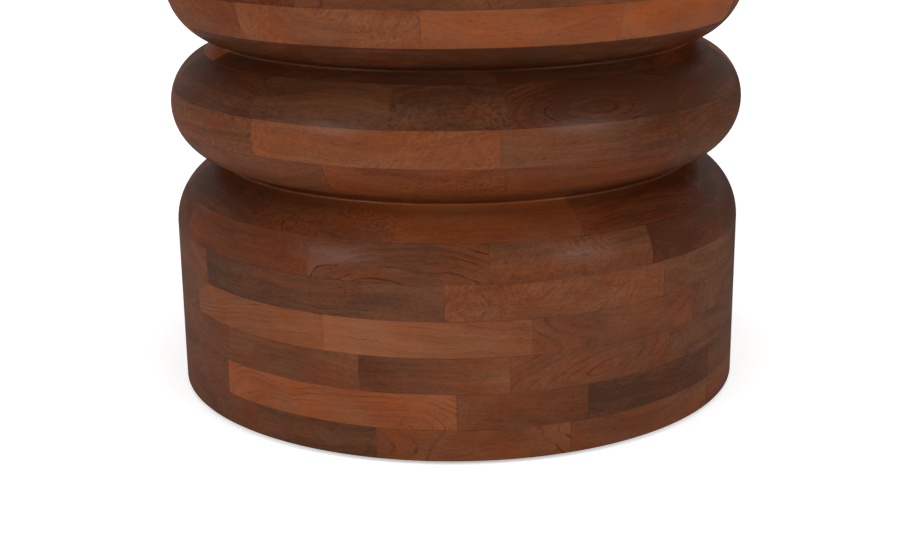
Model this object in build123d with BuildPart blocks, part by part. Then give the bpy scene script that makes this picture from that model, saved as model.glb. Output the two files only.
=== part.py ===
"""Drum side table in the African carved-drum style: two drums joined by a round belt.

The body is a stack of glued rings, each made of end-jointed hardwood blocks, turned to shape
as one piece. An edge-glued board top closes it, a plywood panel closes it from below, and it
stands on four levelling feet set into the bottom ring. Millimetres, +Z up, origin on the
floor at the centre of the table.
"""

import math
import os

from build123d import *

# Overall sizes
table_diameter = 508.0
floor_gap = 3.0  # the rim stands this far above the floor when the feet are screwed home

# Ring stack and top
ring_height = 30.0
bottom_ring_height = 27.0
ring_count = 16
top_thickness = 28.0
glue_line = 0.1
block_arc = 36.0  # usual length of a block, in degrees, where its place is free
ring_stagger = 13.0  # turn from one regular ring to the next, in degrees

# Turned outline: a straight wall, a rounded shoulder, a deep crease, the belt, and the same mirrored
belt_height = 106.0  # crease to crease
belt_run_out = 5.5  # the crease lies this far beyond the belt's round nose
crease_depth = 47.5  # from the wall in to the sharp corner of the crease
crease_rounding = 1.5
wall_rings = 5  # rings up the straight wall of each drum
shoulder_start = 2.0  # the shoulder starts this far below the last joint of those rings
rim_rounding = 1.2
top_edge_rounding = 3.0
crease_wall = 16.5  # wood left between the crease corner and the hollow

# Joints between blocks, in degrees from the front, on the rings whose joints can be seen
seen_joints = {
    1: (-41.5, -15.2, 20.5),
    2: (-49.8, -0.5, 24.0, 57.0),
    3: (-49.0, -18.2, 9.0, 43.0),
    4: (-61.0, -25.0, 13.0, 50.0),
    5: (-56.0, -2.5, 41.0),
    6: (-28.0, 5.5, 38.0, 64.0),
    7: (-44.0, -12.0, 24.0, 60.0),
    8: (-58.0, -24.5, 9.0, 46.0),
    9: (-39.5, 7.5, 44.0),
    10: (-40.5, -12.0, 9.0, 45.0),
    11: (-30.0, 8.0, 47.0),
}

# Board top
board_count = 7

# Bottom panel, let into a rebate of the bottom ring
panel_thickness = 12.0
panel_recess = 6.0  # from the rim up to the panel
panel_clearance = 0.3
rebate_width = 16.0
panel_screw_count = 8
panel_screw_radius = 2.0
panel_screw_head_radius = 4.0
panel_screw_length = 30.0
panel_screw_clearance = 0.05
panel_screw_rebate_edge = 8.0  # from the hollow out to the screws

# Levelling feet
foot_count = 4
foot_inset = 25.0  # from the wall in to the foot's axis
foot_travel = 8.0
pad_radius = 15.0
pad_height = 6.0
pad_edge = 1.0
pocket_clearance = 1.5
pocket_roof_gap = 0.3  # from the pad up to the roof of its pocket
insert_radius = 6.0
stud_engagement = 7.0  # thread still held in the insert at full travel
insert_fit = 0.05
stud_radius = 4.0
stud_running_clearance = 0.05
stud_tip_gap = 1.0
stud_overrun = 0.5  # the stud stands this far above the insert when screwed home
stud_head_radius = 7.0
stud_head_height = 2.2
socket_floor = 2.0
socket_clearance = 0.2
driver_hole_radius = 3.5
driver_slot_width = 1.4
driver_slot_depth = 1.2

# Worked-out sizes
table_radius = table_diameter / 2
stack_height = bottom_ring_height + (ring_count - 1) * ring_height
body_height = stack_height + top_thickness
body_top = floor_gap + body_height
stack_top = floor_gap + stack_height
belt_middle = floor_gap + body_height / 2
crease_radius = table_radius - crease_depth
bore_radius = crease_radius - crease_wall
belt_radius = belt_height / 2 - belt_run_out
belt_centre_radius = table_radius - belt_radius
lower_wall_top = floor_gap + bottom_ring_height + (wall_rings - 1) * ring_height - shoulder_start
upper_wall_foot = 2 * belt_middle - lower_wall_top
shoulder_rise = belt_middle - belt_height / 2 - lower_wall_top
shoulder_radius = (crease_depth**2 + shoulder_rise**2) / (2 * crease_depth)
shoulder_centre_radius = table_radius - shoulder_radius
shoulder_sweep = math.degrees(math.atan2(shoulder_rise, crease_radius - shoulder_centre_radius))

rebate_radius = bore_radius + rebate_width
panel_bottom = floor_gap + panel_recess
panel_top = panel_bottom + panel_thickness
panel_screw_circle = bore_radius + panel_screw_rebate_edge
foot_circle = table_radius - foot_inset
pocket_radius = pad_radius + pocket_clearance
pocket_top = pad_height + pocket_roof_gap
insert_length = foot_travel + stud_engagement
insert_top = pocket_top + insert_length
stud_top = insert_top + stud_overrun


def radial_plane(angle):
    """Plane through the table's axis, its x along the radius at an angle from +X."""
    turn = math.radians(angle)
    outward = (math.cos(turn), math.sin(turn), 0)
    normal = (math.sin(turn), -math.cos(turn), 0)
    return Plane(origin=(0, 0, 0), x_dir=outward, z_dir=normal)


def nose_half_angle():
    """Half the arc of the belt's nose, up to where the straight run to the crease touches it."""
    across = crease_radius - belt_centre_radius
    down = belt_height / 2
    toward_crease = math.degrees(math.atan2(down, across))
    tangent = math.degrees(math.acos(belt_radius / math.hypot(across, down)))
    return toward_crease - tangent


def make_outline():
    """Half section of the whole body, from its axis to the turned surface."""
    nose = nose_half_angle()
    with BuildSketch() as half:
        with BuildLine():
            lower_shoulder = CenterArc(
                (shoulder_centre_radius, lower_wall_top), shoulder_radius, 0, shoulder_sweep
            )
            belt = CenterArc((belt_centre_radius, belt_middle), belt_radius, -nose, 2 * nose)
            upper_shoulder = CenterArc(
                (shoulder_centre_radius, upper_wall_foot), shoulder_radius, -shoulder_sweep, shoulder_sweep
            )
            Line(lower_shoulder @ 1, belt @ 0)
            Line(belt @ 1, upper_shoulder @ 0)
            Line(upper_shoulder @ 1, (table_radius, body_top))
            Polyline((table_radius, body_top), (0, body_top), (0, floor_gap), (table_radius, floor_gap))
            Line((table_radius, floor_gap), lower_shoulder @ 0)
        make_face()
        creases = half.vertices().filter_by_position(Axis.X, crease_radius - 0.01, crease_radius + 0.01)
        fillet(creases, crease_rounding)
        wall_ends = half.vertices().filter_by_position(Axis.X, table_radius - 0.01, table_radius + 0.01)
        fillet(wall_ends.sort_by(Axis.Y)[0], rim_rounding)
        wall_ends = half.vertices().filter_by_position(Axis.X, table_radius - 0.01, table_radius + 0.01)
        fillet(wall_ends.sort_by(Axis.Y)[-1], top_edge_rounding)
    return half


outline = make_outline()


def band_section(plane, inner, low, high):
    """The turned outline between two heights and outside one radius, on a radial plane."""
    with BuildSketch(plane) as section:
        add(outline.sketch)
        with Locations(((inner + table_radius) / 2, (low + high) / 2)):
            Rectangle(table_radius - inner, high - low, mode=Mode.INTERSECT)
    return section.sketch


def ring_levels(number):
    """Lower and upper face of a ring, less the glue line above it."""
    top = floor_gap + bottom_ring_height + (number - 1) * ring_height
    if number == 1:
        return floor_gap, top - glue_line
    return top - ring_height, top - glue_line


def ring_joints(number):
    """Joint angles of a ring from the front, once round, the first one repeated at the end."""
    if number not in seen_joints:
        blocks = round(360 / block_arc)
        first = -block_arc / 2 + (number * ring_stagger) % block_arc
        return [first + index * 360 / blocks for index in range(blocks + 1)]
    seen = list(seen_joints[number])
    hidden = seen[0] + 360 - seen[-1]
    blocks = round(hidden / block_arc)
    return seen + [seen[-1] + index * hidden / blocks for index in range(1, blocks + 1)]


def ring_blocks(number):
    """Start angle from +X and arc of each block of a ring, a glue line apart."""
    gap = math.degrees(glue_line / table_radius)
    joints = ring_joints(number)
    front = -90.0
    return [(front + start + gap / 2, end - start - gap) for start, end in zip(joints, joints[1:])]


def finish(part, name):
    """Label a finished piece and write it."""
    part.label = name
    export_step(part, f"parts/{name}.step")


os.makedirs("parts", exist_ok=True)

# Bottom ring: rebate for the panel, its screw holes, and a pocket and insert hole for each foot
ring_low, ring_high = ring_levels(1)
with BuildPart() as bottom_ring:
    for start, arc in ring_blocks(1):
        revolve(band_section(radial_plane(start), bore_radius, ring_low, ring_high), Axis.Z, arc)
    with BuildSketch(Plane.XY.offset(floor_gap)):
        Circle(rebate_radius)
    extrude(amount=panel_recess + panel_thickness, mode=Mode.SUBTRACT)
    with BuildSketch(Plane.XY.offset(panel_top)):
        with PolarLocations(panel_screw_circle, panel_screw_count, 180 / panel_screw_count):
            Circle(panel_screw_radius + panel_screw_clearance)
    extrude(amount=bottom_ring_height, mode=Mode.SUBTRACT)
    with BuildSketch(Plane.XY.offset(floor_gap)):
        with PolarLocations(foot_circle, foot_count):
            Circle(pocket_radius)
    extrude(amount=pocket_top - floor_gap, mode=Mode.SUBTRACT)
    with BuildSketch(Plane.XY.offset(pocket_top)):
        with PolarLocations(foot_circle, foot_count):
            Circle(insert_radius + insert_fit)
    extrude(amount=insert_length, mode=Mode.SUBTRACT)
    with BuildSketch(Plane.XY.offset(insert_top)):
        with PolarLocations(foot_circle, foot_count):
            Circle(stud_radius + stud_tip_gap)
    extrude(amount=stud_overrun + stud_tip_gap, mode=Mode.SUBTRACT)
finish(bottom_ring.part, "ring_layer_01")

# Second ring: the tips of the panel screws reach into it
screw_tip = panel_bottom + panel_screw_length
ring_low, ring_high = ring_levels(2)
with BuildPart() as second_ring:
    for start, arc in ring_blocks(2):
        revolve(band_section(radial_plane(start), bore_radius, ring_low, ring_high), Axis.Z, arc)
    with BuildSketch(Plane.XY.offset(ring_low)):
        with PolarLocations(panel_screw_circle, panel_screw_count, 180 / panel_screw_count):
            Circle(panel_screw_radius + panel_screw_clearance)
    extrude(amount=max(screw_tip - ring_low, glue_line) + glue_line, mode=Mode.SUBTRACT)
finish(second_ring.part, "ring_layer_02")

# Plain rings up to the top
for number in range(3, ring_count + 1):
    ring_low, ring_high = ring_levels(number)
    with BuildPart() as ring:
        for start, arc in ring_blocks(number):
            revolve(band_section(radial_plane(start), bore_radius, ring_low, ring_high), Axis.Z, arc)
    finish(ring.part, f"ring_layer_{number:02d}")

# Board top: boards side by side along X, cut to the table's round
board_width = table_diameter / board_count
for number in range(1, board_count + 1):
    board_middle = -table_radius + (number - 0.5) * board_width
    with BuildPart() as board:
        revolve(band_section(radial_plane(0), 0, stack_top, body_top), Axis.Z)
        with BuildSketch(Plane.XY.offset(stack_top)):
            with Locations((0, board_middle)):
                Rectangle(table_diameter, board_width - glue_line)
        extrude(amount=top_thickness, mode=Mode.INTERSECT)
    finish(board.part, f"top_board_{number}")

# Bottom panel: plywood disc with a countersunk hole for each screw
with BuildPart() as panel:
    with BuildSketch(Plane.XY.offset(panel_bottom)):
        Circle(rebate_radius - panel_clearance)
    extrude(amount=panel_thickness)
    with Locations(Plane(origin=(0, 0, panel_bottom), z_dir=(0, 0, -1))):
        with PolarLocations(panel_screw_circle, panel_screw_count, 180 / panel_screw_count):
            CounterSinkHole(
                panel_screw_radius + panel_screw_clearance,
                panel_screw_head_radius + panel_screw_clearance,
                counter_sink_angle=90,
            )
finish(panel.part, "bottom_panel")

# Panel screws: countersunk heads flush with the panel, with a cross recess
head_height = panel_screw_head_radius - panel_screw_radius
recess_reach = panel_screw_head_radius * 0.6
recess_width = panel_screw_head_radius * 0.22
recess_depth = head_height * 0.7
with BuildPart() as panel_screws:
    with BuildSketch(Plane.XZ) as screw_section:
        with Locations((panel_screw_circle, panel_bottom)):
            Polygon(
                (0, 0),
                (panel_screw_head_radius, 0),
                (panel_screw_radius, head_height),
                (panel_screw_radius, panel_screw_length - 2 * panel_screw_radius),
                (0, panel_screw_length),
                align=None,
            )
    screw_axis = Axis((panel_screw_circle, 0, 0), (0, 0, 1))
    revolve(axis=screw_axis)
    with BuildSketch(Plane.XY.offset(panel_bottom)):
        with Locations((panel_screw_circle, 0)):
            Rectangle(2 * recess_reach, recess_width)
            Rectangle(recess_width, 2 * recess_reach)
    extrude(amount=recess_depth, mode=Mode.SUBTRACT)
one_screw = panel_screws.part
with BuildPart() as screw_set:
    for index in range(panel_screw_count):
        add(one_screw, rotation=(0, 0, (index + 0.5) * 360 / panel_screw_count))
finish(screw_set.part, "bottom_panel_screws")

# Threaded inserts in the bottom ring, one above each foot
with BuildPart() as inserts:
    with BuildSketch(Plane.XY.offset(pocket_top)):
        with PolarLocations(foot_circle, foot_count):
            Circle(insert_radius)
            Circle(stud_radius + stud_running_clearance, mode=Mode.SUBTRACT)
    extrude(amount=insert_length)
finish(inserts.part, "foot_inserts")

# Levelling feet, numbered round from +X: a stud with a slotted head turning in a nylon pad
head_bottom = socket_floor
head_top = head_bottom + stud_head_height
socket_top = head_top + socket_clearance
for number in range(1, foot_count + 1):
    turn = math.radians((number - 1) * 360 / foot_count)
    foot_x = foot_circle * math.cos(turn)
    foot_y = foot_circle * math.sin(turn)
    with BuildPart() as stud:
        with BuildSketch(Plane((foot_x, foot_y, head_bottom))):
            Circle(stud_head_radius)
        extrude(amount=stud_head_height)
        with BuildSketch(Plane((foot_x, foot_y, head_bottom))):
            Circle(stud_radius)
        extrude(amount=stud_top - head_bottom)
        chamfer(stud.edges().filter_by(GeomType.CIRCLE).sort_by(Axis.Z)[-1], stud_radius * 0.2)
        with BuildSketch(Plane((foot_x, foot_y, head_bottom))):
            Rectangle(2 * driver_hole_radius, driver_slot_width)
        extrude(amount=driver_slot_depth, mode=Mode.SUBTRACT)
    finish(stud.part, f"foot_stud_{number}")

    with BuildPart() as pad:
        with BuildSketch(Plane((foot_x, foot_y, 0))):
            Circle(pad_radius)
        extrude(amount=pad_height)
        chamfer(pad.edges().filter_by(GeomType.CIRCLE), pad_edge)
        with BuildSketch(Plane((foot_x, foot_y, 0))):
            Circle(driver_hole_radius)
        extrude(amount=socket_floor, mode=Mode.SUBTRACT)
        with BuildSketch(Plane((foot_x, foot_y, socket_floor))):
            Circle(stud_head_radius + socket_clearance)
        extrude(amount=socket_top - socket_floor, mode=Mode.SUBTRACT)
        with BuildSketch(Plane((foot_x, foot_y, socket_top))):
            Circle(stud_radius + socket_clearance)
        extrude(amount=pad_height - socket_top, mode=Mode.SUBTRACT)
    finish(pad.part, f"foot_pad_{number}")
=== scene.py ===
"""Drum side table: turned hardwood rings, board top, plywood bottom and levelling feet.

Run as a script in Blender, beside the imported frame. The wooden rings and the top are made again as
fine turned pieces that know how each block was sawn from its log. The other CAD parts keep their
shape and get their finish. Metres, +Z up, the table stands on the floor at the origin.
"""

import math
import random

import bmesh
import bpy
from mathutils import Matrix, Vector


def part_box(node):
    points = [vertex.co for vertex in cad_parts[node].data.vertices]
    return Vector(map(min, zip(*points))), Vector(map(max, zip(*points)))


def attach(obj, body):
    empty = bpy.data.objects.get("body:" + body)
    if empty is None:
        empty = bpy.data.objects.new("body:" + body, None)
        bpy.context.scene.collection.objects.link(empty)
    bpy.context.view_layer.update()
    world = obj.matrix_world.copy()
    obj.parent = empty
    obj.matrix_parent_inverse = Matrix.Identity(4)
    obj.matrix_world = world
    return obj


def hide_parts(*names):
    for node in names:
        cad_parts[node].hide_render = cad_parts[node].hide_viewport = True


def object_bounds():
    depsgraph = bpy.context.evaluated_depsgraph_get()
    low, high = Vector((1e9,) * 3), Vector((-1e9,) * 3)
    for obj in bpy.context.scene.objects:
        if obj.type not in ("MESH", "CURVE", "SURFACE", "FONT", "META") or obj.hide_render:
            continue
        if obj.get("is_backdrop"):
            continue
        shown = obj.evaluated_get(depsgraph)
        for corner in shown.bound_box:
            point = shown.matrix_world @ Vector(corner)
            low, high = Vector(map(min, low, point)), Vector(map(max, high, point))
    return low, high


bl_info = {
    "name": "Drum side table",
    "version": (1, 0, 0),
    "blender": (4, 5, 0),
    "location": "View3D > Sidebar > Drum Table",
    "description": "Turned ring-built drum table with its finishes and a plain studio",
    "category": "Object",
}

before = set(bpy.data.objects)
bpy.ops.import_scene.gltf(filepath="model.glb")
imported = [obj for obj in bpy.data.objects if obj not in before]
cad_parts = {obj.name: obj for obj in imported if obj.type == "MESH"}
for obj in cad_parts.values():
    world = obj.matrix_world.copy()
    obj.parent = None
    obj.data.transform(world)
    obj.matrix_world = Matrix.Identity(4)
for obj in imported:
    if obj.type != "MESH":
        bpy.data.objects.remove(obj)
CAD_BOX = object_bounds()

MM = 0.001
WOOD = "stained mango wood, turned, satin lacquer"
PLYWOOD = "birch plywood, sanded"
ZINC = "zinc plated steel, bright"
NYLON = "black nylon, moulded"
RING_COUNT = 16
BOARD_COUNT = 7
FOOT_COUNT = 4
SCREW_COUNT = 8

# Holes in the two lowest rings, as radii: for the panel screws, the inserts and the studs' tips
SCREW_HOLE = 2.05 * MM
INSERT_HOLE = 6.05 * MM
TIP_HOLE = 5.0 * MM
TIP_ROOM = 1.5 * MM  # how far the tip's hole runs on above the insert
SCREW_INSET = 8.0 * MM  # from the hollow's wall out to the circle of panel screws
CUTTER_SIDES = 48
CUTTER_ROOM = math.radians(6)  # how far beyond a block's end a cutter may stand and still touch it

# Blocks out of sight span about so many degrees, and in the rings that have only such blocks each
# row starts so many degrees round from the one below
HIDDEN_BLOCK, RING_SHIFT = 36, 13

# No point of the outline lies nearer than this to a ring's face, and two places nearer than the
# second length are one
FACE_GAP, SAME_PLACE = 0.3 * MM, 0.02 * MM

# A face takes the outline's normals where the cosine between them and its own is more than this
TURNED_COSINE = 0.97

# Painted highlight along the bottom of the lower and the upper crease: its strength in each, and how
# far it reaches
CREASE_HIGHLIGHT_LOW, CREASE_HIGHLIGHT_HIGH, CREASE_HIGHLIGHT_REACH = 0.5, 0.1, 4.0 * MM

# Direction of the table's front, in degrees round from +X
FRONT = -90

# How far below the wall's surface a block's middle lies, how far off it its pith may lie (in mm),
# and how far the grain may lean
CORE_DEPTH, PITH_REACH, GRAIN_LEAN = 12 * MM, (25.0, 70.0), 0.05

# First numbers of the draws: for each ring's row of blocks, each block's log and each board's log;
# every log then draws its lot from a run of so many
ROW_LOT, BLOCK_LOT, BOARD_LOT, LOTS = 11, 100, 5000, 60.0

# Stains of the blocks: (lightness from dark to light, redness from brown to red)
STAINS = {
    "umber": (0.02, 0.10),
    "bark": (0.04, 0.45),
    "cocoa": (0.13, 0.35),
    "walnut": (0.20, 0.15),
    "rosewood": (0.08, 0.90),
    "mahogany": (0.22, 0.80),
    "hazel": (0.28, 0.40),
    "chestnut": (0.36, 0.45),
    "russet": (0.42, 0.85),
    "cinnamon": (0.48, 0.55),
    "amber": (0.62, 0.55),
    "copper": (0.80, 0.75),
    "tan": (0.75, 0.28),
}

# Figure of the blocks: (dark veins, curl across the grain, how round an eye is, slope of the grain)
FIGURES = {
    "plain": (0.15, 0.30, 0.0, 0.0),
    "veined": (1.0, 0.30, 0.0, 0.0),
    "wavy": (1.8, 0.30, 0.0, 0.02),
    "rising": (1.0, 0.20, 0.0, 0.14),
    "falling": (1.0, 0.20, 0.0, -0.10),
    "curly": (0.20, 1.0, 0.0, 0.0),
    "eyed": (1.6, 0.30, 0.30, 0.0),
    "slanted": (1.0, 0.45, 0.22, 0.24),
}

# Patterns in the wood: (length, width, both in mm, detail, roughness, distortion, degrees off the
# grain). Real pores are 3 to 8 mm long and 0.2 mm wide, and fibres finer still; they are drawn 0.7
# and 1.0 mm wide so that they show. Curl runs across the grain, leaning one way or the other.
PATTERNS = {
    "bend": (95.0, 34.0, 1.5, 0.5, 0.0, 0.0),
    "ripple": (20.0, 8.0, 1.0, 0.5, 0.0, 0.0),
    "vein patches": (44.0, 12.0, 2.0, 0.5, 0.0, 0.0),
    "pores": (7.0, 0.7, 1.0, 0.5, 0.0, 0.0),
    "pore patches": (36.0, 11.0, 1.0, 0.5, 0.0, 0.0),
    "fibres": (26.0, 1.0, 3.0, 0.6, 0.0, 0.0),
    "flecks": (5.0, 2.2, 2.0, 0.6, 0.6, 0.0),
    "clouds": (62.0, 24.0, 2.0, 0.5, 0.0, 0.0),
    "curl": (8.5, 1.9, 1.5, 0.5, 0.5, 52.0),
    "counter curl": (7.5, 1.8, 1.5, 0.5, 0.5, -58.0),
    "hue": (40.0, 18.0, 1.0, 0.5, 0.0, 0.0),
}

# How far each pattern lightens or darkens the stain
SHADES = {"thin rings": 0.22, "wide rings": 0.24, "fibres": 0.55, "flecks": 0.26, "clouds": 0.54}

# Front of each ring: where a block starts, in degrees from the front, its stain, its figure if it
# isn't plain, and how much lighter its right-hand end is than its left-hand one if it runs from
# heartwood into sapwood. The first entry of a ring has no start: it is the block that runs in from
# behind on the left.
FRONT_BLOCKS = {
    1: (
        (None, "hazel"), (-41.5, "walnut"), (-15.2, "cinnamon", "veined"), (20.5, "chestnut"),
        (57.0, "chestnut"),
    ),
    2: (
        (None, "hazel"), (-49.8, "copper", "veined"), (-0.5, "hazel", "plain", -0.25),
        (24.0, "umber"), (57.0, "walnut"),
    ),
    3: (
        (None, "hazel"), (-49.0, "chestnut"), (-18.2, "chestnut", "plain", 0.40),
        (9.0, "chestnut", "slanted", -0.15), (43.0, "walnut"),
    ),
    4: (
        (None, "walnut"), (-61.0, "amber", "rising", 0.25), (-25.0, "tan", "falling", -0.40),
        (13.0, "chestnut", "veined"), (50.0, "walnut"),
    ),
    5: (
        (None, "hazel"), (-56.0, "walnut", "veined", 0.30), (-2.5, "cinnamon", "curly"),
        (41.0, "walnut", "plain", -0.25),
    ),
    6: (
        (None, "mahogany"), (-28.0, "hazel", "wavy"), (5.5, "chestnut", "curly"), (38.0, "bark"),
        (64.0, "umber"),
    ),
    # Ring 7 is the shoulder under the belt: its dark stains are partly the wood's own tone and
    # partly painted shade for the dimmer light there
    7: (
        (None, "bark"), (-44.0, "mahogany", "curly", 0.25), (-12.0, "russet", "plain", -0.15),
        (24.0, "rosewood", "plain", -0.25), (60.0, "bark"),
    ),
    8: (
        (None, "walnut"), (-58.0, "hazel"), (-24.5, "russet", "curly", -0.15),
        (9.0, "mahogany", "plain", -0.25), (46.0, "walnut"),
    ),
    9: (
        (None, "chestnut", "curly"), (-39.5, "amber", "curly"), (7.5, "hazel", "plain", -0.45),
        (44.0, "cocoa"),
    ),
    # Rings 10 and 11 are the belt's top and the upper crease: their dark stains are partly the
    # wood's own tone and partly painted shade for the dimmer light there
    10: (
        (None, "bark"), (-40.5, "walnut", "plain", 0.15), (-12.0, "walnut", "curly"),
        (9.0, "bark", "eyed", -0.15), (45.0, "bark"),
    ),
    11: (
        (None, "bark"), (-30.0, "bark"), (8.0, "bark"), (47.0, "rosewood"),
    ),
}

# Eyes in the figure: ring to (degrees from the front, height) of the middle
EYES = {3: (28.0, 73.0 * MM), 10: (26.5, 281.0 * MM)}

# Stains and figures of the blocks out of sight, drawn by lot
BACK_STAINS = ("walnut", "chestnut", "chestnut", "russet", "russet", "amber", "copper", "rosewood")
BACK_FIGURES = ("plain", "plain", "veined", "curly")


def linear(colour):
    """Turn an sRGB hex colour into the linear numbers that Blender works in."""
    shares = [int(colour[i : i + 2], 16) / 255 for i in (1, 3, 5)]
    return tuple(s / 12.92 if s <= 0.04045 else ((s + 0.055) / 1.055) ** 2.4 for s in shares)


def ring_name(number):
    return f"ring_layer_{number:02d}"


def ring_levels(number):
    """Lower and upper face of a ring; it runs up to the next piece, with no glue line showing."""
    above = ring_name(number + 1) if number < RING_COUNT else "top_board_1"
    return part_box(ring_name(number))[0].z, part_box(above)[0].z


class DrumTableSizes(bpy.types.PropertyGroup):
    """Sizes of the turned body."""

    radius: bpy.props.FloatProperty(
        name="Radius", description="From the axis to the wall", default=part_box(ring_name(1))[1].x,
        unit="LENGTH",
    )
    belt_height: bpy.props.FloatProperty(
        name="Belt height", description="From crease to crease", default=106.0 * MM, unit="LENGTH"
    )
    belt_run_out: bpy.props.FloatProperty(
        name="Belt run-out", description="How far the crease lies beyond the belt's nose",
        default=5.5 * MM, unit="LENGTH",
    )
    crease_depth: bpy.props.FloatProperty(
        name="Crease depth", description="From the wall in to the crease", default=47.5 * MM,
        unit="LENGTH",
    )
    crease_rounding: bpy.props.FloatProperty(
        name="Crease rounding", description="Radius at the bottom of the crease",
        default=1.5 * MM, unit="LENGTH",
    )
    wall_top: bpy.props.FloatProperty(
        name="Wall top", description="Height where the lower shoulder starts",
        default=ring_levels(6)[0] - 2.0 * MM, unit="LENGTH",
    )
    rim_rounding: bpy.props.FloatProperty(
        name="Rim rounding", description="Radius of the bottom edge", default=1.2 * MM,
        unit="LENGTH",
    )
    top_rounding: bpy.props.FloatProperty(
        name="Top edge rounding", description="Radius of the top edge", default=3.0 * MM,
        unit="LENGTH",
    )
    bore_radius: bpy.props.FloatProperty(
        name="Bore radius", description="Radius of the hollow", default=190.0 * MM, unit="LENGTH"
    )
    rebate_radius: bpy.props.FloatProperty(
        name="Rebate radius", description="Radius of the rebate that holds the bottom panel",
        default=206.0 * MM, unit="LENGTH",
    )
    pocket_radius: bpy.props.FloatProperty(
        name="Foot pocket radius", description="Radius of the pocket around a foot",
        default=16.5 * MM, unit="LENGTH",
    )
    smoothness: bpy.props.FloatProperty(
        name="Smoothness", description="Angle between two sections of a turned piece",
        default=math.radians(1.2), subtype="ANGLE",
    )


class DrumTableColours(bpy.types.PropertyGroup):
    """Colours of the stained wood, from which every block's own stain is mixed."""

    dark_brown: bpy.props.FloatVectorProperty(
        name="Dark brown", description="Darkest brown heartwood", subtype="COLOR", size=3,
        default=linear("#422819"), min=0.0, max=1.0,
    )
    light_brown: bpy.props.FloatVectorProperty(
        name="Light brown", description="Lightest brown sapwood", subtype="COLOR", size=3,
        default=linear("#8B5739"), min=0.0, max=1.0,
    )
    dark_red: bpy.props.FloatVectorProperty(
        name="Dark red", description="Darkest red heartwood", subtype="COLOR", size=3,
        default=linear("#4A210F"), min=0.0, max=1.0,
    )
    light_red: bpy.props.FloatVectorProperty(
        name="Light red", description="Lightest red wood", subtype="COLOR", size=3,
        default=linear("#8E4923"), min=0.0, max=1.0,
    )
    # Colour of the painted highlight along the bottom of each crease
    crease: bpy.props.FloatVectorProperty(
        name="Crease", description="Thin stain along the creases", subtype="COLOR", size=3,
        default=linear("#C0703A"), min=0.0, max=1.0,
    )
    pore: bpy.props.FloatVectorProperty(
        name="Pores", description="Stain gathered in pores and veins", subtype="COLOR", size=3,
        default=linear("#24120A"), min=0.0, max=1.0,
    )


def add_node(tree, kind, inputs=None, **settings):
    """Add a shader node with its settings, its inputs filled with values or with other nodes."""
    node = tree.nodes.new(f"ShaderNode{kind}")
    for name, value in settings.items():
        setattr(node, name, value)
    for key, value in (inputs or {}).items():
        if isinstance(value, bpy.types.Node):
            value = next(output for output in value.outputs if output.enabled)
        if isinstance(value, bpy.types.NodeSocket):
            tree.links.new(value, node.inputs[key])
        else:
            node.inputs[key].default_value = value
    return node


def fade(tree, strength, *ranges):
    """A strength times a share for each range: (value, low, high, share at low, share at high)."""
    for limits in ranges:
        inputs = dict(enumerate(limits))
        share = add_node(tree, "MapRange", inputs, interpolation_type="SMOOTHSTEP")
        strength = add_node(tree, "Math", {0: strength, 1: share}, operation="MULTIPLY")
    return strength


def new_material(name):
    """A material and its node tree, still empty."""
    material = bpy.data.materials.new(name)
    material.use_nodes = True
    material.node_tree.nodes.clear()
    return material, material.node_tree


def end_material(tree, inputs):
    """End a material's tree in its Principled shader."""
    shader = add_node(tree, "BsdfPrincipled", inputs)
    add_node(tree, "OutputMaterial", {"Surface": shader})


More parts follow.
